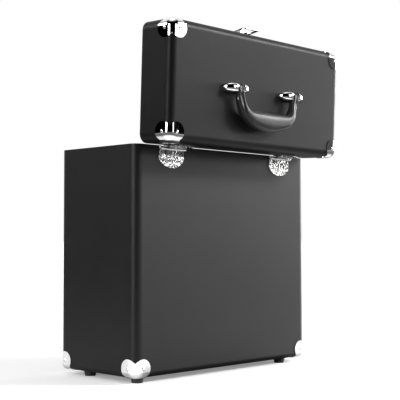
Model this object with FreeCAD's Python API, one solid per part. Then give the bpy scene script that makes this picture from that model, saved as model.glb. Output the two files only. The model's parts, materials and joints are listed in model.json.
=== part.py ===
import FreeCAD, Part
import math
import os

os.makedirs("parts", exist_ok=True)

# Frame: +Z up, origin on the floor under the middle of the body.
# The front, with the latch, faces -Y. The back, with the hinges, faces +Y.
# Lid pieces are drawn closed on the body, then turned open about the hinge pins.

# Body and lid
case_width = 375.0
case_depth = 169.0
body_height = 325.5
lid_height = 58.2
rim_gap = 0.5
edge_radius = 13.0
bottom_radius = 8.0
lid_top_radius = 11.5
cover_thickness = 1.0
panel_thickness = 6.0
lining_thickness = 0.8
cut_overrun = 5.0

# Feet
foot_height = 8.0
foot_top_radius = 9.3
foot_bottom_radius = 7.8
foot_right_inset = 20.5
foot_left_inset = 45.5
foot_back_inset = 18.5
foot_front_inset = 47.5
foot_recess_radius = 3.6
foot_recess_depth = 3.0
foot_screw_radius = 1.5
foot_screw_head_radius = 3.2
foot_screw_head_height = 2.0
foot_screw_length = 9.0

# Corner protectors
corner_thickness = 1.0
corner_reach = 27.8
corner_rise = 26.6
corner_lobe_radius = 13.5
corner_notch_height = 18.0
foot_clearance = 0.3
nail_shank_radius = 0.9
nail_head_radius = 2.6
nail_head_height = 1.1
nail_depth = 5.0

# Hinges
hinge_axis_out = 3.5
hinge_axis_down = 3.66
hinge_side_inset = 68.0
hinge_width = 49.0
hinge_leaf_thickness = 1.1
hinge_straight = 16.0
hinge_leaf_length = 28.0
hinge_barrel_radius = 3.2
hinge_middle_barrel = 23.0
hinge_side_gap = 0.3
hinge_pin_radius = 1.3
hinge_pin_clearance = 0.06
hinge_pin_head_radius = 2.3
hinge_pin_head_height = 1.0
hinge_lid_leaf_lift = 2.6
hinge_rib_radius = 1.5
hinge_rib_places = (-13.0, 0.0, 13.0)
hinge_rib_length = 6.0
hinge_rib_gap = 1.6
hinge_stop_length = 5.2
hinge_stop_thickness = 1.6
hinge_stop_gap = 0.1
hinge_wall_gap = 0.15
open_angle = 92.11
rivet_shank_radius = 1.2
rivet_head_radius = 2.8
rivet_head_height = 1.2
rivet_depth = 4.5
hinge_rivet_side_x = 18.5
hinge_rivet_side_drop = 12.0
hinge_rivet_low_drop = 22.5

# Handle and its mounts, on the middle of the lid's top
pivot_height = 11.0
mount_centre_x = 61.5
mount_length = 50.0
mount_width = 13.0
mount_plate_thickness = 1.2
mount_ear_half = 6.0
mount_ear_top = 4.8
mount_ear_shoulder = 2.8
mount_slot = 13.6
mount_ear_length = 9.0
mount_ear_flat = 2.5
mount_ear_bend_share = 0.3
mount_rivet_x = 20.6
handle_pin_radius = 1.8
handle_pin_clearance = 0.06
handle_tilt = open_angle - 90.0
handle_eye_width = 13.0
handle_eye_radius = 5.6
leg_lean = 2.6
leg_width = 12.4
leg_half_thickness = 6.2
leg_start = 15.0
grip_inner_drop = 30.0
grip_outer_drop = 59.4
grip_outer_radius = 98.6
grip_corner_radius = 45.0
grip_inner_radius = 15.0
grip_half_thickness = 8.6
grip_crown = 0.8
grip_bulge_share = 0.8
grip_corner_steps = 5
core_width = 9.0
core_thickness = 2.0
core_eye_radius = 3.6

# Latch: a base and hinged hasp on the lid, a keeper and turn button on the body
latch_base_width = 26.0
latch_base_low = 2.0
latch_base_high = 20.0
latch_plate_thickness = 1.2
latch_corner_radius = 2.5
latch_rivet_inset = 4.0
hasp_pivot_up = 8.5
hasp_pivot_out = 6.0
hasp_barrel_radius = 2.6
hasp_barrel_half = 8.6
hasp_side_gap = 0.4
hasp_ear_gap = 0.6
hasp_pin_radius = 1.3
hasp_pin_head_radius = 2.0
hasp_pin_head_height = 0.8
pin_clearance = 0.06
hasp_offset = 1.3
hasp_thickness = 1.3
hasp_width = 33.0
hasp_length = 28.0
hasp_corner_radius = 3.0
hasp_end_bar = 4.0
hasp_window_half = 12.0
hasp_window_height = 11.0
hasp_window_radius = 2.0
hasp_lip_radius = 0.9
hasp_lip_half = 11.0
hasp_rest_lean = 10.5
keeper_width = 26.0
keeper_height = 21.0
keeper_top_drop = 1.0
knob_boss_radius = 4.5
knob_boss_out = 2.8
knob_stem_radius = 2.4
knob_flange_radius = 4.0
knob_flange_thickness = 1.2
knob_flange_gap = 0.2
knob_recess_depth = 2.0
knob_wing_out = 5.0
knob_wing_thickness = 2.2
knob_wing_length = 17.0
knob_wing_width = 8.0
knob_ridge_width = 2.4
knob_ridge_height = 2.0

# Places worked out from the sizes
rim_z = foot_height + body_height
lid_rim_z = rim_z + rim_gap
lid_top_z = lid_rim_z + lid_height
half_width = case_width / 2
half_depth = case_depth / 2
wall = cover_thickness + panel_thickness
inner_wall = wall + lining_thickness
hinge_y = half_depth + hinge_axis_out
hinge_z = rim_z - hinge_axis_down
hinge_centre_x = half_width - hinge_side_inset
foot_x_places = (half_width - foot_right_inset, foot_left_inset - half_width)
foot_y_places = (half_depth - foot_back_inset, foot_front_inset - half_depth)
leg_inner_x = mount_centre_x - leg_lean - leg_width / 2
leg_outer_x = mount_centre_x - leg_lean + leg_width / 2
hinge_sides = (1, -1)
side_names = ("right", "left")
foot_names = ("back_right", "back_left", "front_right", "front_left")

X = FreeCAD.Vector(1, 0, 0)
Y = FreeCAD.Vector(0, 1, 0)
Z = FreeCAD.Vector(0, 0, 1)


def point(x, y, z):
    return FreeCAD.Vector(x, y, z)


def box(x0, x1, y0, y1, z0, z1):
    return Part.makeBox(x1 - x0, y1 - y0, z1 - z0, point(x0, y0, z0))


def rod(radius, start, direction, length):
    return Part.makeCylinder(radius, length, start, direction)


def cut_all(shape, tools):
    for tool in tools:
        shape = shape.cut(tool)
    return shape


def rounded_block(inset, low, high, low_radius, high_radius):
    """A block inset from the case's outer sides, its upright edges rounded, its ends too if asked."""
    x = half_width - inset
    y = half_depth - inset
    block = box(-x, x, -y, y, low, high)
    upright = [e for e in block.Edges if abs(e.Vertexes[0].Z - e.Vertexes[1].Z) > (high - low) / 2]
    block = block.makeFillet(edge_radius - inset, upright)
    for level, radius in ((low, low_radius), (high, high_radius)):
        if radius:
            rim = [e for e in block.Edges
                   if abs(e.BoundBox.ZMax - level) + abs(e.BoundBox.ZMin - level) < radius]
            block = block.makeFillet(radius, rim)
    return block


def body_form(inset):
    """The body's outer form, moved in by the inset on every side but the rim."""
    return rounded_block(inset, foot_height + inset, rim_z, bottom_radius - inset, 0)


def lid_form(inset):
    """The lid's outer form, moved in by the inset on every side but the rim."""
    return rounded_block(inset, lid_rim_z, lid_top_z - inset, 0, lid_top_radius - inset)


def open_lid(shape):
    """Turn a piece drawn on the closed lid to where it is on the open lid."""
    turned = shape.copy()
    turned.rotate(point(0, hinge_y, hinge_z), X, -open_angle)
    return turned


def wall_slabs(low, high):
    """Boxes that part a ring of wall into front, back, left and right panels."""
    x = half_width + cut_overrun
    y = half_depth + cut_overrun
    inner_x = half_width - wall
    inner_y = half_depth - wall
    return {
        "front": box(-x, x, -y, -inner_y, low, high),
        "back": box(-x, x, inner_y, y, low, high),
        "left": box(-x, -inner_x, -inner_y, inner_y, low, high),
        "right": box(inner_x, x, -inner_y, inner_y, low, high),
    }


def hollow(inset, low, high):
    """The inside of the case, inset from its outer sides, between two heights."""
    x = half_width - inset
    y = half_depth - inset
    return box(-x, x, -y, y, low, high)


def body_panels():
    floor_z = foot_height + wall
    wood = body_form(cover_thickness)
    wood = wood.cut(hollow(-cut_overrun, rim_z - cover_thickness, rim_z + cut_overrun))
    wood = wood.cut(hollow(wall, floor_z, rim_z + cut_overrun))
    panels = {"case_bottom_panel": wood.common(hollow(-cut_overrun, 0, floor_z))}
    for side, slab in wall_slabs(floor_z, rim_z).items():
        panels["case_" + side + "_panel"] = wood.common(slab)
    return panels


def lid_panels():
    roof_z = lid_top_z - wall
    wood = lid_form(cover_thickness)
    wood = wood.cut(hollow(-cut_overrun, lid_rim_z - cut_overrun, lid_rim_z + cover_thickness))
    wood = wood.cut(hollow(wall, lid_rim_z - cut_overrun, roof_z))
    panels = {"lid_top_panel": wood.common(hollow(-cut_overrun, roof_z, lid_top_z))}
    for side, slab in wall_slabs(lid_rim_z, roof_z).items():
        panels["lid_" + side + "_panel"] = wood.common(slab)
    return panels


def body_cover():
    """The leatherette skin, turned in over the rim."""
    skin = body_form(0)
    inside = body_form(cover_thickness).cut(
        hollow(-cut_overrun, rim_z - cover_thickness, rim_z + cut_overrun))
    return skin.cut(inside).cut(hollow(wall, rim_z - wall, rim_z + cut_overrun))


def lid_cover():
    skin = lid_form(0)
    inside = lid_form(cover_thickness).cut(
        hollow(-cut_overrun, lid_rim_z - cut_overrun, lid_rim_z + cover_thickness))
    return skin.cut(inside).cut(hollow(wall, lid_rim_z - cut_overrun, lid_rim_z + wall))


def body_lining():
    floor_z = foot_height + wall
    sheet = hollow(wall, floor_z, rim_z - wall)
    return sheet.cut(hollow(inner_wall, floor_z + lining_thickness, rim_z))


def lid_lining():
    roof_z = lid_top_z - wall
    sheet = hollow(wall, lid_rim_z + wall, roof_z)
    return sheet.cut(hollow(inner_wall, lid_rim_z, roof_z - lining_thickness))


def foot_places():
    return [(x, y) for y in foot_y_places for x in foot_x_places]


def foot(x, y):
    """A tapered foot with a recess for its screw's head."""
    cone = Part.makeCone(foot_bottom_radius, foot_top_radius, foot_height, point(x, y, 0))
    recess = rod(foot_recess_radius, point(x, y, 0), Z, foot_recess_depth)
    hole = rod(foot_screw_radius, point(x, y, 0), Z, foot_height)
    return cone.cut(recess).cut(hole)


def foot_screw(x, y):
    base = foot_recess_depth - foot_screw_head_height
    head = rod(foot_screw_head_radius, point(x, y, base), Z, foot_screw_head_height)
    shank = rod(foot_screw_radius, point(x, y, foot_recess_depth), Z, foot_screw_length)
    return head.fuse(shank)


def corner_region(sign_x, sign_y, corner_z, sign_z):
    """The space of one protector: a cube at the corner and a round lobe on each of the three faces."""
    corner = point(sign_x * half_width, sign_y * half_depth, corner_z)
    inward = (X * -sign_x, Y * -sign_y, Z * -sign_z)
    out = corner_thickness + cut_overrun
    side = corner_notch_height + out
    outer = corner - (inward[0] + inward[1] + inward[2]) * out
    far = outer + (inward[0] + inward[1] + inward[2]) * side
    low = [min(outer[i], far[i]) for i in range(len(inward))]
    shape = Part.makeBox(side, side, side, point(*low))
    centre = corner_reach - corner_lobe_radius
    middle = corner + (inward[0] + inward[1]) * centre + inward[2] * (corner_rise - corner_lobe_radius)
    for axis in inward:
        shape = shape.fuse(rod(corner_lobe_radius, middle - axis * (centre + out), axis, centre + out))
    return shape


def corner_pieces(form, grown, corner_z, sign_z):
    """Four protectors that hug the rounded corners of a form."""
    shell = grown.cut(form)
    places = [(sx, sy) for sy in (1, -1) for sx in (1, -1)]
    return [shell.common(corner_region(sx, sy, corner_z, sign_z)) for sx, sy in places]


def dome(centre, outward, radius, height):
    """A low round head on a face."""
    ball_radius = (radius * radius + height * height) / (2 * height)
    ball = Part.makeSphere(ball_radius, centre - outward * (ball_radius - height))
    return ball.common(rod(radius, centre, outward, height + height))


def fastener(face_point, outward, shank_radius, depth, head_radius, head_height):
    head = dome(face_point, outward, head_radius, head_height)
    shank = rod(shank_radius, face_point - outward * depth, outward, depth)
    return head.fuse(shank)


def corner_nail_places(corner_z, sign_z):
    """The seat and outward direction of each nail on the four corners at one level. The underside has none."""
    inset = corner_reach - corner_lobe_radius
    out = corner_thickness
    places = []
    for sx in (1, -1):
        for sy in (1, -1):
            x = sx * (half_width - inset)
            y = sy * (half_depth - inset)
            z = corner_z - sign_z * (corner_rise - corner_lobe_radius)
            places.append((point(sx * (half_width + out), y, z), X * sx))
            places.append((point(x, sy * (half_depth + out), z), Y * sy))
            if sign_z > 0:
                places.append((point(x, y, corner_z + sign_z * out), Z * sign_z))
    return places


def nails(places):
    return [fastener(p, d, nail_shank_radius, nail_depth, nail_head_radius, nail_head_height)
            for p, d in places]


def rivets(places, depth):
    return [fastener(p, d, rivet_shank_radius, depth, rivet_head_radius, rivet_head_height) for p, d in places]


def leaf_outline(centre_x, top_z, sign):
    """A hinge leaf: straight sides, then one round end. The sign is +1 for a leaf that runs up."""
    half = hinge_width / 2
    y = half_depth
    shoulder = top_z + sign * hinge_straight
    tip = top_z + sign * hinge_leaf_length
    corners = [point(centre_x - half, y, shoulder), point(centre_x - half, y, top_z)]
    corners += [point(centre_x + half, y, top_z), point(centre_x + half, y, shoulder)]
    edges = [Part.LineSegment(a, b).toShape() for a, b in zip(corners, corners[1:])]
    edges.append(Part.Arc(corners[-1], point(centre_x, y, tip), corners[0]).toShape())
    return Part.Face(Part.Wire(edges)).extrude(Y * hinge_leaf_thickness)


def leaf_ribs(centre_x, root_z, sign):
    """Three raised ribs pressed into a leaf, with round ends."""
    ribs = []
    y = half_depth + hinge_leaf_thickness
    for place in hinge_rib_places:
        start = point(centre_x + place, y, root_z)
        end = start + Z * (sign * hinge_rib_length)
        rib = rod(hinge_rib_radius, start, Z * sign, hinge_rib_length)
        rib = rib.fuse(Part.makeSphere(hinge_rib_radius, end))
        ribs.append(rib)
    below = box(centre_x - hinge_width, centre_x + hinge_width, 0, y, 0, lid_top_z)
    return cut_all(ribs[0].multiFuse(ribs[1:]), [below])


def barrel_spans(centre_x):
    """The lengths along the pin: one middle barrel on the lid, two outer ones on the body."""
    half = hinge_width / 2
    middle = hinge_middle_barrel / 2
    gap = hinge_side_gap
    outer = [(centre_x - half, centre_x - middle - gap), (centre_x + middle + gap, centre_x + half)]
    return (centre_x - middle, centre_x + middle), outer


def hinge_pin(centre_x):
    length = hinge_width
    start = point(centre_x - length / 2, hinge_y, hinge_z)
    pin = rod(hinge_pin_radius, start, X, length)
    left = dome(start, X * -1, hinge_pin_head_radius, hinge_pin_head_height)
    right = dome(start + X * length, X, hinge_pin_head_radius, hinge_pin_head_height)
    return pin.fuse(left).fuse(right)


def hinge_case_leaf(centre_x):
    """The leaf on the body's back wall, with the two outer barrels."""
    leaf = leaf_outline(centre_x, hinge_z, -1)
    leaf = leaf.fuse(leaf_ribs(centre_x, hinge_z - hinge_barrel_radius - hinge_stop_length - hinge_rib_gap, -1))
    face_y = half_depth
    room = hinge_middle_barrel / 2 + hinge_side_gap
    leaf = leaf.cut(box(centre_x - room, centre_x + room, 0, hinge_y,
                        hinge_z - hinge_barrel_radius - hinge_side_gap, rim_z))
    for x0, x1 in barrel_spans(centre_x)[1]:
        barrel = rod(hinge_barrel_radius, point(x0, hinge_y, hinge_z), X, x1 - x0)
        web = box(x0, x1, face_y, hinge_y, hinge_z - hinge_barrel_radius, hinge_z)
        leaf = leaf.fuse(barrel).fuse(web)
    bore_start = point(centre_x - hinge_width, hinge_y, hinge_z)
    leaf = leaf.cut(rod(hinge_pin_radius, bore_start, X, hinge_width * 2))
    return leaf.removeSplitter()


def hinge_lid_leaf(centre_x):
    """The leaf on the lid's back wall, with the middle barrel and its stop."""
    root_z = lid_rim_z + hinge_lid_leaf_lift
    leaf = leaf_outline(centre_x, root_z, 1)
    leaf = leaf.fuse(leaf_ribs(centre_x, root_z + hinge_leaf_thickness, 1))
    x0, x1 = barrel_spans(centre_x)[0]
    barrel = rod(hinge_barrel_radius, point(x0, hinge_y, hinge_z), X, x1 - x0)
    web_top = root_z + hinge_leaf_thickness * 2
    neck_y = half_depth + hinge_wall_gap
    neck = box(x0, x1, neck_y, hinge_y, hinge_z, lid_rim_z + hinge_wall_gap)
    root = box(x0, x1, half_depth, hinge_y, lid_rim_z + hinge_wall_gap, web_top)
    leaf = leaf.fuse(barrel).fuse(neck).fuse(root)
    bore_start = point(x0 - hinge_side_gap, hinge_y, hinge_z)
    bore_length = x1 - x0 + hinge_side_gap * 2
    leaf = leaf.cut(rod(hinge_pin_radius + hinge_pin_clearance, bore_start, X, bore_length))
    return leaf.fuse(hinge_stop(x0, x1)).removeSplitter()


def hinge_stop(x0, x1):
    """The lug that meets the body leaf when the lid is open, drawn on the closed lid."""
    inner_y = half_depth + hinge_leaf_thickness + hinge_stop_gap
    low = hinge_z - hinge_barrel_radius - hinge_stop_length
    lug = box(x0, x1, inner_y, inner_y + hinge_stop_thickness, low, hinge_z)
    ring = rod(hinge_pin_radius + hinge_pin_clearance, point(x0, hinge_y, hinge_z), X, x1 - x0)
    lug = lug.cut(ring)
    lug.rotate(point(0, hinge_y, hinge_z), X, open_angle)
    return lug


def hinge_rivet_places(root_z, sign):
    face_y = half_depth + hinge_leaf_thickness
    places = []
    for side in hinge_sides:
        centre_x = side * hinge_centre_x
        for dx in (-hinge_rivet_side_x, hinge_rivet_side_x):
            places.append((point(centre_x + dx, face_y, root_z + sign * hinge_rivet_side_drop), Y))
        places.append((point(centre_x, face_y, root_z + sign * hinge_rivet_low_drop), Y))
    return places


def handle_mount(side):
    """A riveted plate with a domed ear each side of the handle's eye."""
    centre_x = side * mount_centre_x
    half = mount_length / 2 - mount_width / 2
    plate = box(centre_x - half, centre_x + half, -mount_width / 2, mount_width / 2,
                lid_top_z, lid_top_z + mount_plate_thickness)
    for end in (-half, half):
        start = point(centre_x + end, 0, lid_top_z)
        plate = plate.fuse(rod(mount_width / 2, start, Z, mount_plate_thickness))
    for end in (-1, 1):
        plate = plate.fuse(mount_ear(centre_x + end * mount_slot / 2, end))
    hole_start = point(centre_x - mount_length, 0, lid_top_z + pivot_height)
    return plate.cut(rod(handle_pin_radius, hole_start, X, mount_length * 2)).removeSplitter()


def mount_ear(inner, end):
    """A domed ear: upright beside the handle, rounding down to the plate at its outer end."""
    axis_z = lid_top_z + pivot_height
    top = axis_z + mount_ear_top
    outer = inner + end * mount_ear_length
    x0 = min(inner, outer)
    barrel = rod(mount_ear_half, point(x0, 0, axis_z), X, mount_ear_length)
    root = box(x0, x0 + mount_ear_length, -mount_ear_half, mount_ear_half, lid_top_z, axis_z)
    y = -mount_width
    ring = [point(inner, y, lid_top_z), point(inner, y, top), point(inner + end * mount_ear_flat, y, top)]
    ring += [point(outer, y, axis_z - mount_ear_shoulder), point(outer, y, lid_top_z)]
    reach = mount_ear_length - mount_ear_flat
    drop = top - ring[3].z
    bend = point(outer - end * reach * mount_ear_bend_share, y, top - drop * mount_ear_bend_share)
    edges = [Part.LineSegment(a, b).toShape() for a, b in zip(ring[:2], ring[1:3])]
    edges.append(Part.Arc(ring[2], bend, ring[3]).toShape())
    edges += [Part.LineSegment(a, b).toShape() for a, b in ((ring[3], ring[4]), (ring[4], ring[0]))]
    profile = Part.Face(Part.Wire(edges)).extrude(Y * (mount_width * 2))
    return barrel.fuse(root).common(profile)


def handle_pin(side):
    centre_x = side * mount_centre_x
    length = mount_slot + mount_ear_length
    start = point(centre_x - length / 2, 0, lid_top_z + pivot_height)
    return rod(handle_pin_radius, start, X, length)


def mount_rivet_places():
    top = lid_top_z + mount_plate_thickness
    places = [side * mount_centre_x + dx for side in hinge_sides for dx in (-mount_rivet_x, mount_rivet_x)]
    return [(point(x, 0, top), Z) for x in places]


def outer_drop(x):
    """How far below the pivots the handle's outer edge lies, near the middle of the grip."""
    centre = grip_outer_drop - grip_outer_radius
    return centre + math.sqrt(grip_outer_radius ** 2 - x * x)


def outer_distance(x, drop, dx, dd):
    """How far along a direction the handle's outer corner arc lies from a point."""
    cx = leg_outer_x - grip_corner_radius
    cd = corner_arc_drop()
    px = x - cx
    pd = drop - cd
    along = px * dx + pd * dd
    return math.sqrt(along * along - px * px - pd * pd + grip_corner_radius ** 2) - along


def corner_arc_drop():
    """Drop of the centre of the arc that joins the grip's outer arc to the leg, tangent to both."""
    reach = grip_outer_radius - grip_corner_radius
    x = leg_outer_x - grip_corner_radius
    return grip_outer_drop - grip_outer_radius + math.sqrt(reach * reach - x * x)


def grip_stations():
    """Inner and outer edge of the right half of the handle, from the leg to the middle, as x and drop."""
    cx = leg_inner_x - grip_inner_radius
    cd = grip_inner_drop - grip_inner_radius
    stations = [((leg_inner_x, leg_start), (leg_outer_x, leg_start))]
    for step in range(1, grip_corner_steps):
        turn = math.pi / 2 * step / grip_corner_steps
        dx = math.cos(turn)
        dd = math.sin(turn)
        inner = (cx + grip_inner_radius * dx, cd + grip_inner_radius * dd)
        reach = outer_distance(cx, cd, dx, dd)
        stations.append((inner, (cx + reach * dx, cd + reach * dd)))
    stations.append(((cx, grip_inner_drop), (cx, outer_drop(cx))))
    stations.append(((cx / 2, grip_inner_drop), (cx / 2, outer_drop(cx / 2))))
    return stations


def handle_path():
    """All stations from one leg to the other, with each one's half thickness."""
    right = grip_stations()
    middle = ((0, grip_inner_drop), (0, grip_outer_drop))
    left = [((-a[0], a[1]), (-b[0], b[1])) for a, b in reversed(right)]
    stations = right + [middle] + left
    path = []
    for inner, outer in stations:
        low_share = (inner[1] + outer[1] - leg_start * 2) / (grip_inner_drop + grip_outer_drop - leg_start * 2)
        growth = grip_half_thickness - leg_half_thickness
        half = leg_half_thickness + growth * math.sqrt(max(low_share, 0))
        path.append((inner, outer, half))
    return path


def grip_section(inner, outer, half):
    """A rounded section of the handle, inner to outer edge. Drawn flat, drop along -Y, front +Z."""
    start = point(inner[0], -inner[1], 0)
    end = point(outer[0], -outer[1], 0)
    width = (end - start).Length
    across = (end - start) / width
    bulge = grip_bulge_share * min(half, width / 2)
    front = Z * half
    crown = Z * (half + grip_crown)
    a = start + across * bulge
    b = end - across * bulge
    middle = (start + end) / 2
    edges = [
        Part.Arc(a + front, middle + crown, b + front).toShape(),
        Part.Arc(b + front, end, b - front).toShape(),
        Part.LineSegment(b - front, a - front).toShape(),
        Part.Arc(a - front, start, a + front).toShape(),
    ]
    return Part.Wire(edges)


def strap_outline():
    """The steel strap inside the handle, along the middle of its sections."""
    inner_side = []
    outer_side = []
    for inner, outer, _ in handle_path():
        start = point(inner[0], -inner[1], -core_thickness / 2)
        end = point(outer[0], -outer[1], -core_thickness / 2)
        across = (end - start).normalize() * (core_width / 2)
        middle = (start + end) / 2
        inner_side.append(middle - across)
        outer_side.append(middle + across)
    return inner_side, outer_side


def place_handle(shape):
    """Lay the flat-drawn handle on the closed lid, hanging plumb once the lid is open."""
    shape.rotate(point(0, 0, 0), Z, 180)
    shape.rotate(point(0, 0, 0), X, handle_tilt)
    shape.translate(point(0, 0, lid_top_z + pivot_height))
    return shape


def handle_eyes(radius, width):
    """Round ends on the pivot axis, one on each leg."""
    return [rod(radius, point(side * mount_centre_x - width / 2, 0, 0), X, width) for side in hinge_sides]


def handle_core():
    inner_side, outer_side = strap_outline()
    ring = inner_side + list(reversed(outer_side))
    strap = Part.Face(Part.makePolygon(ring + ring[:1])).extrude(Z * core_thickness)
    shape = strap
    for side in hinge_sides:
        x = side * mount_centre_x
        leg = box(x - core_width / 2, x + core_width / 2, -leg_start - core_thickness, 0,
                  -core_thickness / 2, core_thickness / 2)
        shape = shape.fuse(leg)
    shape = shape.multiFuse(handle_eyes(core_eye_radius, handle_eye_width))
    shape = cut_all(shape, handle_eyes(handle_pin_radius + handle_pin_clearance, handle_eye_width * 2))
    return shape.removeSplitter()


def handle_grip():
    """The moulded grip round the strap, with a round-ended eye block on each leg."""
    sections = [grip_section(*station) for station in handle_path()]
    shape = Part.makeLoft(sections, True, False)
    for side in hinge_sides:
        x = side * mount_centre_x
        half = handle_eye_width / 2
        block = box(x - half, x + half, -leg_start, 0, -handle_eye_radius, handle_eye_radius)
        shape = shape.fuse(block)
    shape = shape.multiFuse(handle_eyes(handle_eye_radius, handle_eye_width))
    return shape


def front_point(x, up, out):
    """A point in front of the case: sideways, up from the lid's rim, out from the front wall."""
    return point(x, -half_depth - out, lid_rim_z + up)


def front_box(x0, x1, up0, up1, out0, out1):
    return box(x0, x1, -half_depth - out1, -half_depth - out0, lid_rim_z + up0, lid_rim_z + up1)


def latch_base():
    """A plate on the lid's front wall with an ear at each side of the hasp's barrel."""
    half = latch_base_width / 2
    shape = front_box(-half, half, latch_base_low, latch_base_high, 0, latch_plate_thickness)
    upright = [e for e in shape.Edges if abs(e.Vertexes[0].Y - e.Vertexes[1].Y) > latch_plate_thickness / 2]
    shape = shape.makeFillet(latch_corner_radius, upright)
    inner = hasp_barrel_half + hasp_side_gap
    for x0, x1 in ((-half, -inner), (inner, half)):
        ear = rod(hasp_barrel_radius, front_point(x0, hasp_pivot_up, hasp_pivot_out), X, x1 - x0)
        stem = front_box(x0, x1, hasp_pivot_up - hasp_barrel_radius, hasp_pivot_up + hasp_barrel_radius,
                         0, hasp_pivot_out)
        shape = shape.fuse(ear).fuse(stem)
    bore = rod(hasp_pin_radius, front_point(-half, hasp_pivot_up, hasp_pivot_out), X, latch_base_width)
    return shape.cut(bore).removeSplitter()


def latch_pin():
    half = latch_base_width / 2
    start = front_point(-half, hasp_pivot_up, hasp_pivot_out)
    pin = rod(hasp_pin_radius, start, X, latch_base_width)
    left = dome(start, X * -1, hasp_pin_head_radius, hasp_pin_head_height)
    right = dome(start + X * latch_base_width, X, hasp_pin_head_radius, hasp_pin_head_height)
    return pin.fuse(left).fuse(right)


def latch_hasp():
    """The hinged hasp with its window, drawn flat up along the lid, then leant out to where it rests."""
    low = hasp_pivot_up + hasp_barrel_radius + hasp_ear_gap
    high = hasp_pivot_up + hasp_length
    out0 = hasp_pivot_out + hasp_offset
    out1 = out0 + hasp_thickness
    half = hasp_width / 2
    plate = front_box(-half, half, low, high, out0, out1)
    corners = [e for e in plate.Edges if abs(e.Vertexes[0].Y - e.Vertexes[1].Y) > hasp_thickness / 2]
    plate = plate.makeFillet(hasp_corner_radius, corners)
    window_high = high - hasp_end_bar
    window_low = window_high - hasp_window_height
    window = front_box(-hasp_window_half, hasp_window_half, window_low, window_high, out0, out1)
    window_corners = [e for e in window.Edges if abs(e.Vertexes[0].Y - e.Vertexes[1].Y) > hasp_thickness / 2]
    plate = plate.cut(window.makeFillet(hasp_window_radius, window_corners))
    neck = front_box(-hasp_barrel_half, hasp_barrel_half, hasp_pivot_up, low, out0, out1)
    barrel = rod(hasp_barrel_radius, front_point(-hasp_barrel_half, hasp_pivot_up, hasp_pivot_out),
                 X, hasp_barrel_half * 2)
    lip = rod(hasp_lip_radius, front_point(-hasp_lip_half, high, out1), X, hasp_lip_half * 2)
    shape = plate.fuse(neck).fuse(barrel).fuse(lip)
    bore_start = front_point(-hasp_width, hasp_pivot_up, hasp_pivot_out)
    shape = shape.cut(rod(hasp_pin_radius + pin_clearance, bore_start, X, hasp_width * 2)).removeSplitter()
    shape.rotate(front_point(0, hasp_pivot_up, hasp_pivot_out), X, hasp_rest_lean)
    return shape


def latch_base_rivet_places():
    up = latch_base_high - latch_rivet_inset
    half = latch_base_width / 2 - latch_rivet_inset
    return [(front_point(x, up, latch_plate_thickness), Y * -1) for x in (-half, half)]


def knob_up():
    """Height of the turn button over the lid's rim, under the middle of the hasp's window when shut."""
    return hasp_pivot_up - hasp_length + hasp_end_bar + hasp_window_height / 2


def latch_keeper():
    """The plate on the body's front wall that the turn button passes through."""
    half = keeper_width / 2
    top = -rim_gap - keeper_top_drop
    shape = front_box(-half, half, top - keeper_height, top, 0, latch_plate_thickness)
    upright = [e for e in shape.Edges if abs(e.Vertexes[0].Y - e.Vertexes[1].Y) > latch_plate_thickness / 2]
    shape = shape.makeFillet(latch_corner_radius, upright)
    boss = rod(knob_boss_radius, front_point(0, knob_up(), 0), Y * -1, knob_boss_out)
    bore = rod(knob_stem_radius + pin_clearance, front_point(0, knob_up(), 0), Y * -1, knob_boss_out)
    return shape.fuse(boss).cut(bore).removeSplitter()


def keeper_rivet_places():
    top = -rim_gap - keeper_top_drop - latch_rivet_inset
    low = -rim_gap - keeper_top_drop - keeper_height + latch_rivet_inset
    half = keeper_width / 2 - latch_rivet_inset
    return [(front_point(x, up, latch_plate_thickness), Y * -1) for x in (-half, half) for up in (low, top)]


def knob_recess():
    """The round hollow in the front wall for the flange at the root of the turn button."""
    radius = knob_flange_radius + hasp_side_gap
    return rod(radius, front_point(0, knob_up(), -knob_recess_depth), Y * -1, knob_recess_depth)


def latch_knob():
    """A quarter-turn button: a flange held behind the keeper, a stem and an oblong wing with a finger ridge."""
    root = knob_flange_gap + knob_flange_thickness
    flange = rod(knob_flange_radius, front_point(0, knob_up(), -root), Y * -1, knob_flange_thickness)
    stem = rod(knob_stem_radius, front_point(0, knob_up(), -root), Y * -1, root + knob_wing_out)
    radius = knob_wing_width / 2
    reach = knob_wing_length / 2 - radius
    wing = front_box(-reach, reach, knob_up() - radius, knob_up() + radius,
                     knob_wing_out, knob_wing_out + knob_wing_thickness)
    for x in (-reach, reach):
        wing = wing.fuse(rod(radius, front_point(x, knob_up(), knob_wing_out), Y * -1, knob_wing_thickness))
    ridge_out = knob_wing_out + knob_wing_thickness
    ridge = front_box(-reach, reach, knob_up() - knob_ridge_width / 2, knob_up() + knob_ridge_width / 2,
                      ridge_out, ridge_out + knob_ridge_height)
    return flange.fuse(stem).fuse(wing).fuse(ridge).removeSplitter()


def holes(places, radius, depth):
    """One tool per fastener: a hole for its shank."""
    return [rod(radius, p - d * depth, d, depth) for p, d in places]


def group(shapes):
    return Part.makeCompound(shapes)


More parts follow.
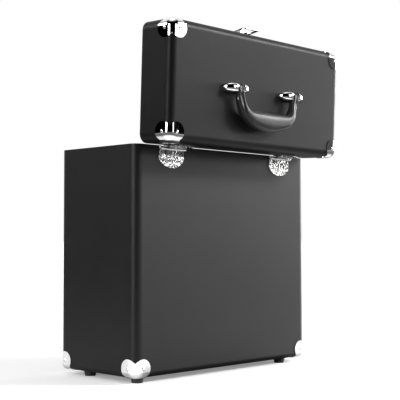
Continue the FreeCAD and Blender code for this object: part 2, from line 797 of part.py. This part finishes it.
def body_parts():
    nail_places = corner_nail_places(foot_height, -1)
    leaf_rivets = hinge_rivet_places(hinge_z, -1)
    knob = latch_knob()
    nail_holes = holes(nail_places, nail_shank_radius, nail_depth)
    rivet_holes = holes(leaf_rivets, rivet_shank_radius, rivet_depth)
    keeper_holes = holes(keeper_rivet_places(), rivet_shank_radius, rivet_depth)
    screw_holes = [rod(foot_screw_radius, point(x, y, foot_recess_depth), Z, foot_screw_length)
                   for x, y in foot_places()]
    tools = nail_holes + rivet_holes + keeper_holes + screw_holes + [knob_recess()]
    drill = group(tools)
    parts = {name: shape.cut(drill) for name, shape in body_panels().items()}
    parts["case_cover"] = body_cover().cut(drill)
    parts["case_lining"] = body_lining()
    for number, (x, y) in enumerate(foot_places()):
        parts["foot_" + foot_names[number]] = foot(x, y)
    parts["foot_screws"] = group([foot_screw(x, y) for x, y in foot_places()])
    grown = rounded_block(-corner_thickness, foot_height - corner_thickness, rim_z,
                          bottom_radius + corner_thickness, 0)
    guards = corner_pieces(body_form(0), grown, foot_height, -1)
    room = group(nail_holes + [rod(foot_top_radius + foot_clearance, point(x, y, 0), Z, foot_height)
                               for x, y in foot_places()])
    parts["case_corners"] = group([guard.cut(room) for guard in guards])
    parts["case_corner_nails"] = group(nails(nail_places))
    for side, name in zip(hinge_sides, side_names):
        parts["hinge_case_leaf_" + name] = hinge_case_leaf(side * hinge_centre_x).cut(group(rivet_holes))
    parts["hinge_pins"] = group([hinge_pin(side * hinge_centre_x) for side in hinge_sides])
    parts["hinge_case_rivets"] = group(rivets(leaf_rivets, rivet_depth))
    parts["latch_keeper"] = latch_keeper().cut(group(keeper_holes))
    parts["latch_keeper_rivets"] = group(rivets(keeper_rivet_places(), rivet_depth))
    parts["latch_knob"] = knob
    return parts


def lid_parts():
    nail_places = corner_nail_places(lid_top_z, 1)
    leaf_rivets = hinge_rivet_places(lid_rim_z + hinge_lid_leaf_lift, 1)
    nail_holes = holes(nail_places, nail_shank_radius, nail_depth)
    rivet_holes = holes(leaf_rivets, rivet_shank_radius, rivet_depth)
    latch_holes = holes(latch_base_rivet_places(), rivet_shank_radius, rivet_depth)
    mount_holes = holes(mount_rivet_places(), rivet_shank_radius, rivet_depth)
    drill = group(nail_holes + rivet_holes + latch_holes + mount_holes)
    parts = {name: shape.cut(drill) for name, shape in lid_panels().items()}
    parts["lid_cover"] = lid_cover().cut(drill)
    parts["lid_lining"] = lid_lining()
    grown = rounded_block(-corner_thickness, lid_rim_z, lid_top_z + corner_thickness,
                          0, lid_top_radius + corner_thickness)
    guards = corner_pieces(lid_form(0), grown, lid_top_z, 1)
    parts["lid_corners"] = group([guard.cut(group(nail_holes)) for guard in guards])
    parts["lid_corner_nails"] = group(nails(nail_places))
    for side, name in zip(hinge_sides, side_names):
        parts["hinge_lid_leaf_" + name] = hinge_lid_leaf(side * hinge_centre_x).cut(group(rivet_holes))
        parts["handle_mount_" + name] = handle_mount(side).cut(group(mount_holes))
        parts["handle_pin_" + name] = handle_pin(side)
    parts["hinge_lid_rivets"] = group(rivets(leaf_rivets, rivet_depth))
    parts["handle_mount_rivets"] = group(rivets(mount_rivet_places(), rivet_depth))
    parts["latch_base"] = latch_base().cut(group(latch_holes))
    parts["latch_base_rivets"] = group(rivets(latch_base_rivet_places(), rivet_depth))
    parts["latch_pin"] = latch_pin()
    parts["latch_hasp"] = latch_hasp()
    core = handle_core()
    eyes = group(handle_eyes(core_eye_radius, handle_eye_width))
    parts["handle_grip"] = place_handle(handle_grip().cut(core).cut(eyes))
    parts["handle_core"] = place_handle(core)
    return {name: open_lid(shape) for name, shape in parts.items()}


for name, shape in {**body_parts(), **lid_parts()}.items():
    shape.exportStep("parts/" + name + ".step")
    print(name, shape.isValid(), len(shape.Solids), round(shape.Volume))
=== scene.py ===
"""Looks of a record carrying case: materials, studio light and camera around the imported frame."""
import json
import math

import bmesh
import bpy
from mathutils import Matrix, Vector

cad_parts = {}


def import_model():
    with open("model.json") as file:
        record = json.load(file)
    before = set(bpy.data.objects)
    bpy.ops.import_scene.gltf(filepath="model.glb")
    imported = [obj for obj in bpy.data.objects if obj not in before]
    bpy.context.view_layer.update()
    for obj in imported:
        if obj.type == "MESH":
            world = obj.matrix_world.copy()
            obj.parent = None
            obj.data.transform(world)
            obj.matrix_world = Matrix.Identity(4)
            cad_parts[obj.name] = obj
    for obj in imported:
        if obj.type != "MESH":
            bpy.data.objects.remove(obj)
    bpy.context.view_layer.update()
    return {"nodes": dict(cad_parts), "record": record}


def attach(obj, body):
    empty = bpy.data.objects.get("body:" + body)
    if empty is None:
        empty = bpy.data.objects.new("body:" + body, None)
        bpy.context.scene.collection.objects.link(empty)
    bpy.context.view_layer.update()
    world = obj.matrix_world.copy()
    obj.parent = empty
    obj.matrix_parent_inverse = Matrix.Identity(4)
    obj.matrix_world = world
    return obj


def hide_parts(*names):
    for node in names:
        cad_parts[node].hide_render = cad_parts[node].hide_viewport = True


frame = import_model()
scene = bpy.context.scene
nodes = frame["nodes"]

# Camera at the photograph's viewing angle
CAMERA_PLACE = Vector((1.0776, 1.0800, 0.2022))
CAMERA_YAW = math.radians(45.620)
CAMERA_PITCH = math.radians(2.247)
FOCAL_PIXELS = 966.6
FRAME_PIXELS = 400
SENSOR = 36.0


def make_camera():
    """The photo's camera, as the perspective fit found it."""
    forward = Vector((-math.sin(CAMERA_YAW) * math.cos(CAMERA_PITCH),
                      -math.cos(CAMERA_YAW) * math.cos(CAMERA_PITCH),
                      math.sin(CAMERA_PITCH)))
    data = bpy.data.cameras.new("camera")
    data.sensor_width = SENSOR
    data.lens = FOCAL_PIXELS / FRAME_PIXELS * SENSOR
    data.clip_end = 100.0
    camera = bpy.data.objects.new("camera", data)
    camera.location = CAMERA_PLACE
    camera.rotation_euler = forward.to_track_quat("-Z", "Y").to_euler()
    scene.collection.objects.link(camera)
    scene.camera = camera


# Noise textures keep mostly between these two values
NOISE_LOW = 0.3
NOISE_HIGH = 0.7


class Nodes:
    """A short way to write a node tree."""

    def __init__(self, tree):
        self.tree = tree
        self.column = 0

    def add(self, kind, **inputs):
        """A new node: arguments that start with p_ are its properties, the others its inputs."""
        node = self.tree.nodes.new(kind)
        self.column += 1
        node.location = (self.column * 180, 0)
        for key, value in inputs.items():
            if key.startswith("p_"):
                setattr(node, key[2:], value)
        for key, value in inputs.items():
            if not key.startswith("p_"):
                self.feed(node, key.replace("_", " "), value)
        return node

    def feed(self, node, name, value):
        """Link or set an input, named by its name or as i0, i1 and so on by its place."""
        by_place = name[0] == "i" and name[1:].isdigit()
        socket = node.inputs[int(name[1:]) if by_place else name]
        if isinstance(value, bpy.types.NodeSocket):
            self.tree.links.new(value, socket)
        else:
            socket.default_value = value

    def place(self):
        return self.add("ShaderNodeTexCoord").outputs["Object"]

    def noise(self, place, scale, detail=2.0, roughness=0.5):
        node = self.add("ShaderNodeTexNoise", Vector=place, Scale=scale, Detail=detail, Roughness=roughness)
        return node.outputs["Fac"]

    def pebbles(self, place, scale):
        node = self.add("ShaderNodeTexVoronoi", p_feature="SMOOTH_F1", Vector=place, Scale=scale)
        return node.outputs["Distance"]

    def math(self, operation, a, b=0.0):
        return self.add("ShaderNodeMath", p_operation=operation, i0=a, i1=b).outputs[0]

    def spread(self, value, low, high, to_low, to_high, kind="LINEAR"):
        """Turn low..high into to_low..to_high, and hold the ends."""
        node = self.add("ShaderNodeMapRange", p_interpolation_type=kind, Value=value)
        ends = {"From Min": low, "From Max": high, "To Min": to_low, "To Max": to_high}
        for name, number in ends.items():
            node.inputs[name].default_value = number
        return node.outputs["Result"]

    def vary(self, noise, least=0.0, most=1.0):
        """Spread a noise's usual range over the values from least to most."""
        return self.spread(noise, NOISE_LOW, NOISE_HIGH, least, most)

    def blend(self, share, a, b):
        node = self.add("ShaderNodeMix", p_data_type="RGBA")
        self.feed(node, "i0", share)
        self.feed(node, "i6", a)
        self.feed(node, "i7", b)
        return node.outputs[2]

    def bump(self, height, distance, strength=1.0, normal=None):
        node = self.add("ShaderNodeBump", Height=height, Distance=distance, Strength=strength)
        if normal is not None:
            self.tree.links.new(normal, node.inputs["Normal"])
        return node.outputs["Normal"]


def material(name):
    """A new material, with its node helper and its shader."""
    made = bpy.data.materials.new(name)
    made.use_nodes = True
    shader = made.node_tree.nodes["Principled BSDF"]
    return made, Nodes(made.node_tree), shader


def grey(level):
    return (level, level, level, 1.0)


def leatherette(name="leatherette", gloss=0.21):
    """Black vinyl with a fine pebbled grain, a little paler where it wears."""
    made, n, shader = material(name)
    place = n.place()
    broad = n.noise(place, 9.0, 3.0)
    pebbles = n.pebbles(place, 950.0)
    creases = n.noise(place, 420.0, 4.0, 0.6)
    height = n.math("ADD", n.math("MULTIPLY", pebbles, 0.7), n.math("MULTIPLY", creases, 0.5))
    tone = n.vary(broad)
    n.feed(shader, "Base Color", n.blend(tone, grey(0.005), grey(0.007)))
    n.feed(shader, "Roughness", n.vary(n.noise(place, 60.0, 3.0), 0.40, 0.46))
    n.feed(shader, "Normal", n.bump(height, 0.00016, 0.5))
    shader.inputs["Specular IOR Level"].default_value = gloss
    return made


def chrome(name="chrome", wave=0.10, crinkle=0.0, darken=0.0):
    """Bright plate, faintly uneven, with soft wipe marks; crinkle adds dents. The last argument makes the
    plate's colour darker: on the hinges that is painted shade for the dark lid they reflect; on the hasp it
    makes the plate greyer.
    """
    made, n, shader = material(name)
    place = n.place()
    shader.inputs["Metallic"].default_value = 1.0
    tone = n.vary(n.noise(place, 70.0, 3.0))
    n.feed(shader, "Base Color", n.blend(tone, grey(0.80 - darken), grey(0.88 - darken)))
    n.feed(shader, "Roughness", n.vary(n.noise(place, 160.0, 4.0), 0.03, 0.07))
    normal = n.bump(n.noise(place, 110.0, 2.0), 0.0009, wave)
    if crinkle:
        normal = n.bump(n.noise(place, 230.0, 2.0, 0.6), 0.002, crinkle, normal)
    n.feed(shader, "Normal", normal)
    return made


def moulded():
    """Black moulded plastic with a faint leather grain."""
    made, n, shader = material("moulded_black")
    place = n.place()
    grain = n.pebbles(place, 700.0)
    fine = n.noise(place, 1500.0, 2.0)
    height = n.math("ADD", grain, n.math("MULTIPLY", fine, 0.3))
    tone = n.vary(n.noise(place, 40.0, 3.0))
    n.feed(shader, "Base Color", n.blend(tone, grey(0.009), grey(0.013)))
    n.feed(shader, "Roughness", n.vary(n.noise(place, 90.0, 3.0), 0.40, 0.46))
    n.feed(shader, "Normal", n.bump(height, 0.0001, 0.3))
    shader.inputs["Specular IOR Level"].default_value = 0.3
    return made


def rubber():
    """Matt black rubber."""
    made, n, shader = material("rubber")
    place = n.place()
    specks = n.noise(place, 900.0, 3.0)
    tone = n.spread(n.noise(place, 120.0, 3.0), 0.35, 0.65, 0.0, 1.0)
    n.feed(shader, "Base Color", n.blend(tone, grey(0.014), grey(0.022)))
    n.feed(shader, "Roughness", n.vary(specks, 0.5, 0.65))
    n.feed(shader, "Normal", n.bump(specks, 0.0001, 0.4))
    return made


def plywood():
    """Birch ply: stretched grain and thin plies."""
    made, n, shader = material("plywood")
    place = n.place()
    mapped = n.add("ShaderNodeMapping", Vector=place)
    mapped.inputs["Scale"].default_value = (1.0, 1.0, 14.0)
    grain = n.noise(mapped.outputs["Vector"], 30.0, 5.0, 0.6)
    tone = n.vary(grain)
    n.feed(shader, "Base Color", n.blend(tone, (0.42, 0.27, 0.14, 1), (0.62, 0.45, 0.27, 1)))
    n.feed(shader, "Roughness", n.vary(grain, 0.5, 0.7))
    n.feed(shader, "Normal", n.bump(grain, 0.0002, 0.4))
    return made


def lining():
    """Black flock with a soft nap."""
    made, n, shader = material("lining")
    place = n.place()
    nap = n.noise(place, 1100.0, 3.0, 0.7)
    brushed = n.noise(place, 25.0, 4.0)
    tone = n.vary(brushed)
    n.feed(shader, "Base Color", n.blend(tone, grey(0.016), grey(0.030)))
    n.feed(shader, "Roughness", n.vary(nap, 0.8, 0.95))
    n.feed(shader, "Normal", n.bump(nap, 0.0003, 0.6))
    shader.inputs["Sheen Weight"].default_value = 0.25
    shader.inputs["Sheen Roughness"].default_value = 0.4
    return made


def steel():
    """Plain steel with drawn lines along X."""
    made, n, shader = material("steel")
    place = n.place()
    shader.inputs["Metallic"].default_value = 1.0
    mapped = n.add("ShaderNodeMapping", Vector=place)
    mapped.inputs["Scale"].default_value = (0.1, 1.0, 1.0)
    lines = n.noise(mapped.outputs["Vector"], 2200.0, 2.0)
    tone = n.vary(lines)
    n.feed(shader, "Base Color", n.blend(tone, grey(0.48), grey(0.60)))
    n.feed(shader, "Roughness", n.vary(lines, 0.24, 0.34))
    n.feed(shader, "Normal", n.bump(lines, 0.00005, 0.3))
    return made


def dress(slots, special):
    """Give every CAD node the made material of its slot in the record, or its own."""
    for part in frame["record"]["subparts"]:
        target = nodes[part["node"]]
        target.data.materials.clear()
        target.data.materials.append(special.get(part["node"], slots[part["material_slot"]]))


# Handle: its edges from the pivot to the middle of the grip, as x and drop below the pivot, in metres
PIVOT = Vector((0.0, 0.16455, 0.41508))
INNER_EDGE = [(0.0550, 0.0), (0.0545, 0.008), (0.0530, 0.015), (0.0519, 0.0196), (0.0498, 0.0238),
              (0.0465, 0.0271), (0.0423, 0.0293), (0.0375, 0.0300), (0.0188, 0.0300), (0.0, 0.0300)]
OUTER_EDGE = [(0.0680, 0.0), (0.0672, 0.008), (0.0658, 0.015), (0.0634, 0.0233), (0.0601, 0.0312),
              (0.0551, 0.0388), (0.0478, 0.0460), (0.0377, 0.0519), (0.0188, 0.0576), (0.0, 0.0594)]
HALF_THICKNESS = [0.0056, 0.0060, 0.0064, 0.0071, 0.0076, 0.0080, 0.0082, 0.0084, 0.0085, 0.0086]
STEPS_PER_SPAN = 6
SECTION_POINTS = 72

# The rounded end over each eye: steps, and the angle that it starts at, in degrees
EYE_RADIUS = 0.0056
EYE_STEPS = 7
EYE_START = 88

# The front's moulding. Along is the share of the way from the pivot to the middle of the grip. Across
# runs from -1 at the inner edge to 1 at the outer one. Depths and heights are in metres.
BEND_START = 0.30
BEND_SPAN = 0.28
CHANNEL_CENTRE = 0.66
CHANNEL_WIDTHS = (0.64, 0.17)
CHANNEL_DEPTHS = (0.0013, 0.0009)
CROWN_CENTRE = -0.12
CROWN_REACH = 0.8
CROWN_HEIGHT = 0.0009
LEAN_START = 0.06
LEAN_SPAN = 0.10
LEG_LEAN = 0.0034
SET_BACK = 0.0001     # keeps the whole front inside the CAD part's box
FRONT_RISE = 2.2      # how fast the moulding comes in round the section's side

# Roundness of the section, as the power of its superellipse at the pivot, and what it loses in the grip
SECTION_POWER = 3.0
POWER_LOSS = 0.4
LOSS_START = 0.25
LOSS_SPAN = 0.5


def curve_point(points, span, share):
    """A point on a smooth curve through the points, mirrored past its last one."""
    def at(k):
        if k < 0:
            return Vector(points[0]) * 2 - Vector(points[-k])
        if k >= len(points):
            mirror = Vector(points[2 * len(points) - 2 - k])
            if len(mirror) > 1:
                mirror[0] = -mirror[0]
            return mirror
        return Vector(points[k])
    a, b, c, d = (at(span + k) for k in (-1, 0, 1, 2))
    t = share
    linear = (c - a) * t
    square = (2 * a - 5 * b + 4 * c - d) * t * t
    cube = (3 * b - a - 3 * c + d) * t ** 3
    return 0.5 * (2 * b + linear + square + cube)


def ease(value):
    """A smooth step from 0 to 1."""
    value = min(max(value, 0.0), 1.0)
    return value * value * (3 - 2 * value)


def relief(across, along):
    """Height of the moulding: a channel between two beads, narrowing to a groove under a crown."""
    open_up = ease((along - BEND_START) / BEND_SPAN)
    centre = CHANNEL_CENTRE * open_up
    width = CHANNEL_WIDTHS[0] + (CHANNEL_WIDTHS[1] - CHANNEL_WIDTHS[0]) * open_up
    depth = CHANNEL_DEPTHS[0] + (CHANNEL_DEPTHS[1] - CHANNEL_DEPTHS[0]) * open_up
    reach = min(abs(across - centre) / width, 1.0)
    channel = -depth * (0.5 + 0.5 * math.cos(math.pi * reach))
    rise = max(1 - ((across - CROWN_CENTRE) / CROWN_REACH) ** 2, 0.0)
    return channel + CROWN_HEIGHT * open_up * rise


def lean_back(across, along):
    """How far a leg's front drops away towards its outer edge, under the eye and above the bend."""
    share = ease((along - LEAN_START) / LEAN_SPAN) * (1 - ease((along - BEND_START) / BEND_SPAN))
    return LEG_LEAN * share * (0.5 + 0.5 * across)


def handle_stations():
    """Inner edge, outer edge, half thickness and share of the way, from one eye to the other."""
    stations = []
    for step in range(EYE_STEPS):
        turn = math.radians(EYE_START * (1 - step / EYE_STEPS))
        drop = -EYE_RADIUS * math.sin(turn)
        inner = Vector((INNER_EDGE[0][0], drop))
        outer = Vector((OUTER_EDGE[0][0], drop))
        stations.append((inner, outer, EYE_RADIUS * math.cos(turn), 0.0))
    spans = len(INNER_EDGE) - 1
    for step in range(spans * STEPS_PER_SPAN + 1):
        span = min(step // STEPS_PER_SPAN, spans - 1)
        share = step / STEPS_PER_SPAN - span
        inner = curve_point(INNER_EDGE, span, share)
        outer = curve_point(OUTER_EDGE, span, share)
        half = HALF_THICKNESS[span] + (HALF_THICKNESS[span + 1] - HALF_THICKNESS[span]) * share
        stations.append((inner, outer, half, step / (spans * STEPS_PER_SPAN)))
    left = [(Vector((-inner.x, inner.y)), Vector((-outer.x, outer.y)), half, along)
            for inner, outer, half, along in reversed(stations[:-1])]
    return stations + left


def handle_ring(inner, outer, half, along):
    """One section of the handle: a rounded bar with beads and a channel on its front."""
    middle = (inner + outer) / 2
    reach = (outer - inner) / 2
    sharp = 2 / (SECTION_POWER - POWER_LOSS * ease((along - LOSS_START) / LOSS_SPAN))
    ring = []
    for step in range(SECTION_POINTS):
        turn = 2 * math.pi * step / SECTION_POINTS
        c = math.cos(turn)
        s = math.sin(turn)
        across = math.copysign(abs(c) ** sharp, c)
        out = half * math.copysign(abs(s) ** sharp, s)
        if s > 0:
            front = relief(across, along) * min(half / EYE_RADIUS, 1.0)
            front = front - lean_back(across, along) - SET_BACK
            out += front * ease(s * FRONT_RISE)
        flat = middle + reach * across
        ring.append((flat.x, PIVOT.y + out, PIVOT.z - flat.y))
    return ring


def handle():
    """The moulded grip with its beads and channels, in place of the plain CAD grip."""
    rings = [handle_ring(*station) for station in handle_stations()]
    points = [p for ring in rings for p in ring]
    n = SECTION_POINTS
    faces = [(r * n + k, r * n + (k + 1) % n, (r + 1) * n + (k + 1) % n, (r + 1) * n + k)
             for r in range(len(rings) - 1) for k in range(n)]
    faces.append(tuple(range(n))[::-1])
    faces.append(tuple((len(rings) - 1) * n + k for k in range(n)))
    mesh = bpy.data.meshes.new("moulded_handle")
    mesh.from_pydata(points, [], faces)
    mesh.validate()
    bm = bmesh.new()
    bm.from_mesh(mesh)
    bmesh.ops.recalc_face_normals(bm, faces=bm.faces[:])
    bm.to_mesh(mesh)
    bm.free()
    mesh.shade_smooth()
    made = bpy.data.objects.new("moulded_handle", mesh)
    scene.collection.objects.link(made)
    mesh.materials.append(nodes["handle_grip"].data.materials[0])
    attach(made, "handle")
    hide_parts("handle_grip")


# Handle mounts: a plate with a smooth dome each side of the handle's eye, as lengths from the middle of
# the mount, in metres
MOUNT_X = 0.0615
PIVOT_HEIGHT = 0.011
LID_TILT = math.radians(2.11)
DOME_INNER = 0.0069
DOME_OUTER = 0.0250
DOME_HALF_WIDTH = 0.0072
DOME_HEIGHT = 0.0160
DOME_RINGS = 16
DOME_POINTS = 32
ARCH_POWER = 0.5         # with ARCH_SIDE_POWER: 1 and 1 give an elliptical arch, less a squarer one
ARCH_SIDE_POWER = 0.7
PLATE_THICKNESS = 0.0012
MERGE_DISTANCE = 1e-6
SHARP_ANGLE = math.radians(50)


def on_lid(x, across, height):
    """A point on the lid's face: sideways, up along the face from the pivots, and out from the face."""
    out_of_lid = Vector((0, math.cos(LID_TILT), -math.sin(LID_TILT)))
    up_the_lid = Vector((0, math.sin(LID_TILT), math.cos(LID_TILT)))
    return Vector((x, 0, 0)) + PIVOT + out_of_lid * (height - PIVOT_HEIGHT) + up_the_lid * across


def dome_ring(middle_x, end, share):
    """One arch of a dome, from its tall inner end at share 0 to its tip at share 1."""
    height = DOME_HEIGHT * math.sqrt(max(1 - share * share, 0.0))
    half_width = DOME_HALF_WIDTH * max(1 - share ** 3, 0.0) ** 0.5
    x = middle_x + end * (DOME_INNER + (DOME_OUTER - DOME_INNER) * share)
    arch = []
    for step in range(DOME_POINTS + 1):
        c = math.cos(math.pi * step / DOME_POINTS)
        s = math.sin(math.pi * step / DOME_POINTS)
        across = half_width * math.copysign(abs(c) ** ARCH_SIDE_POWER, c)
        arch.append(on_lid(x, across, height * max(s, 0.0) ** ARCH_POWER))
    return arch


def handle_mounts():
    """The chrome mounts, in place of the CAD's plainer ones."""
    for side, name in ((1, "right"), (-1, "left")):
        bm = bmesh.new()
        middle = side * MOUNT_X
        for end in (1, -1):
            rings = []
            for step in range(DOME_RINGS + 1):
                share = math.sin(math.pi / 2 * step / DOME_RINGS)
                rings.append([bm.verts.new(point) for point in dome_ring(middle, end, share)])
            for near, far in zip(rings, rings[1:]):
                for k in range(DOME_POINTS):
                    bm.faces.new((near[k], near[k + 1], far[k + 1], far[k]))
            bm.faces.new(rings[0])
        reach = DOME_INNER + DOME_HALF_WIDTH / 2
        strip = [on_lid(middle + x, y, height) for height in (0, PLATE_THICKNESS)
                 for x, y in ((-reach, -DOME_HALF_WIDTH), (reach, -DOME_HALF_WIDTH),
                              (reach, DOME_HALF_WIDTH), (-reach, DOME_HALF_WIDTH))]
        corners = [bm.verts.new(p) for p in strip]
        for ring in ((0, 1, 2, 3), (4, 5, 6, 7), (0, 1, 5, 4), (1, 2, 6, 5), (2, 3, 7, 6), (3, 0, 4, 7)):
            bm.faces.new([corners[k] for k in ring])
        bmesh.ops.remove_doubles(bm, verts=bm.verts[:], dist=MERGE_DISTANCE)
        bmesh.ops.recalc_face_normals(bm, faces=bm.faces[:])
        mesh = bpy.data.meshes.new("domed_mount_" + name)
        bm.to_mesh(mesh)
        bm.free()
        mesh.shade_smooth()
        mesh.set_sharp_from_angle(angle=SHARP_ANGLE)
        made = bpy.data.objects.new("domed_mount_" + name, mesh)
        scene.collection.objects.link(made)
        mesh.materials.append(nodes["handle_mount_" + name].data.materials[0])
        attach(made, "lid")
        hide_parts("handle_mount_" + name)


# The floor: half its width, how far from the middle its pale ring, a painted pool of light, fades in and
# out, all in metres, its tones (painted shadow under the case and dark floor past the ring, the painted
# pool's tone, and the whites), and the light that it gives off to the camera and in reflections within the
# ring, on top of what falls on it
FLOOR_REACH = 40.0
PAINTED_POOL_IN = (0.17, 0.26)
PAINTED_POOL_OUT = (0.45, 0.9)
PAINTED_SHADOW_AND_DARK_FLOOR_TONE = 0.10
PAINTED_POOL_TONE = 0.86
FLOOR_WHITES = (0.90, 0.92)
FLOOR_LIFT = 0.22

# Studio: soft boxes all round, as the azimuth and elevation of the middle, the reach to each side of it
# and up and down, all in degrees, and the strength. Azimuth 0 is +X and 90 is +Y. A reach of 180 goes all
# the way round.
SOFT_BOXES = [
    (140, 26, 13, 8, 132.0),
    (121, 11, 18, 5, 20.0),
    (98, 14, 10, 18, 9.0),
    (162, 2, 16, 10, 28.0),
    (180, 7, 16, 14, 26.0),
    (315, 30, 14, 10, 40.0),
    (8, 14, 12, 16, 36.0),
    (225, 10, 80, 40, 0.4),
    (0, 90, 180, 40, 2.1),
]

# The camera sees white all round. Glossy and transmission rays see a white backdrop behind the case:
# its middle's azimuth, and how far to each side it is full white and where it ends, in degrees.
BACKDROP_MIDDLE = 225
BACKDROP_EDGE = (50, 85)


def turn_from(n, azimuth, middle):
    """How far an azimuth is from the middle's, the shorter way round, in radians."""
    away = n.math("SUBTRACT", azimuth, math.radians(middle))
    wrapped = n.add("ShaderNodeMath", p_operation="WRAP", i0=away, i1=-math.pi, i2=math.pi)
    return n.math("ABSOLUTE", wrapped.outputs[0])


def mirrored_rays(n, path):
    """1 for glossy and transmission rays, 0 for others."""
    return n.math("MAXIMUM", path.outputs["Is Glossy Ray"], path.outputs["Is Transmission Ray"])


def world():
    """Soft boxes and zenith light the case; the camera sees plain white."""
    made = bpy.data.worlds.new("studio")
    scene.world = made
    made.use_nodes = True
    tree = made.node_tree
    tree.nodes.clear()
    n = Nodes(tree)
    direction = n.add("ShaderNodeTexCoord").outputs["Generated"]
    parts = n.add("ShaderNodeSeparateXYZ", Vector=direction)
    azimuth = n.math("ARCTAN2", parts.outputs["Y"], parts.outputs["X"])
    elevation = n.math("ARCSINE", parts.outputs["Z"])
    total = None
    for around, up, reach, rise, strength in SOFT_BOXES:
        level = strength
        spans = [(n.math("ABSOLUTE", n.math("SUBTRACT", elevation, math.radians(up))), rise)]
        if reach < 180:
            spans.append((turn_from(n, azimuth, around), reach))
        for span, half in spans:
            glow = n.spread(span, 0.0, math.radians(half), 1.0, 0.0, "SMOOTHSTEP")
            level = n.math("MULTIPLY", glow, level)
        total = level if total is None else n.math("ADD", total, level)
    path = n.add("ShaderNodeLightPath")
    seen = path.outputs["Is Camera Ray"]
    full, end = (math.radians(edge) for edge in BACKDROP_EDGE)
    backdrop = n.spread(turn_from(n, azimuth, BACKDROP_MIDDLE), full, end, 1.0, 0.0)
    lit = n.math("MAXIMUM", total, n.math("MULTIPLY", mirrored_rays(n, path), backdrop))
    strength = n.math("ADD", n.math("MULTIPLY", n.math("SUBTRACT", 1.0, seen), lit), seen)
    background = n.add("ShaderNodeBackground", Color=(1, 1, 1, 1), Strength=strength)
    out = n.add("ShaderNodeOutputWorld")
    tree.links.new(background.outputs[0], out.inputs["Surface"])


def floor():
    """A floor that is seen white, and white in reflections within its pale ring. Otherwise it throws light
    back from that ring, a painted pool of light, and its colour is painted shadow under the case and dark
    past the ring.
    """
    mesh = bpy.data.meshes.new("floor")
    corners = [(x * FLOOR_REACH, y * FLOOR_REACH, 0) for x, y in ((-1, -1), (1, -1), (1, 1), (-1, 1))]
    mesh.from_pydata(corners, [], [(0, 1, 2, 3)])
    ground = bpy.data.objects.new("floor", mesh)
    scene.collection.objects.link(ground)
    made, n, shader = material("floor_white_with_painted_pool")
    place = n.place()
    faint = n.noise(place, 3.0, 2.0)
    distance = n.add("ShaderNodeVectorMath", p_operation="LENGTH", i0=place).outputs["Value"]
    # The colour that other rays see: painted shadow inside the ring, under the case; the pale ring, a
    # painted pool of light; dark floor past it.
    fade_in = n.spread(distance, *PAINTED_POOL_IN, 0.0, 1.0)
    fade_out = n.spread(distance, *PAINTED_POOL_OUT, 1.0, 0.0)
    ring = n.math("MULTIPLY", fade_in, fade_out)
    painted_pool_and_shadow = n.blend(ring, grey(PAINTED_SHADOW_AND_DARK_FLOOR_TONE), grey(PAINTED_POOL_TONE))
    path = n.add("ShaderNodeLightPath")
    reflected_painted_pool = n.math("MULTIPLY", mirrored_rays(n, path), ring)
    shown = n.math("MAXIMUM", path.outputs["Is Camera Ray"], reflected_painted_pool)
    white = n.blend(faint, *(grey(level) for level in FLOOR_WHITES))
    n.feed(shader, "Base Color", n.blend(shown, painted_pool_and_shadow, white))
    shader.inputs["Roughness"].default_value = 0.9
    shader.inputs["Specular IOR Level"].default_value = 0.1
    shader.inputs["Emission Color"].default_value = (1, 1, 1, 1)
    n.feed(shader, "Emission Strength", n.math("MULTIPLY", shown, FLOOR_LIFT))
    mesh.materials.append(made)


make_camera()
# Hinge leaves: dented chrome whose darker colour is painted shade for the dark lid they reflect.
pressed_chrome_painted_shade = chrome("pressed_chrome_painted_shade", wave=0.2, crinkle=0.5, darken=0.4)
dress({
    "plywood": plywood(),
    "leatherette": leatherette(),
    "lining": lining(),
    "rubber": rubber(),
    "steel": steel(),
    "handle_plastic": moulded(),
    "chrome": chrome(),
}, {
    # The lid's cover is a shaded copy of the case's leatherette: its lower gloss is painted shade that
    # makes the lid darker than the case.
    "lid_cover": leatherette("lid_leatherette_painted_shade", gloss=0.11),
    "latch_hasp": chrome("darkened_chrome", wave=0.15, darken=0.5),
    "hinge_case_leaf_right": pressed_chrome_painted_shade,
    "hinge_case_leaf_left": pressed_chrome_painted_shade,
    "hinge_lid_leaf_right": pressed_chrome_painted_shade,
    "hinge_lid_leaf_left": pressed_chrome_painted_shade,
})
handle()
handle_mounts()
world()
floor()
scene.view_settings.view_transform = "Standard"
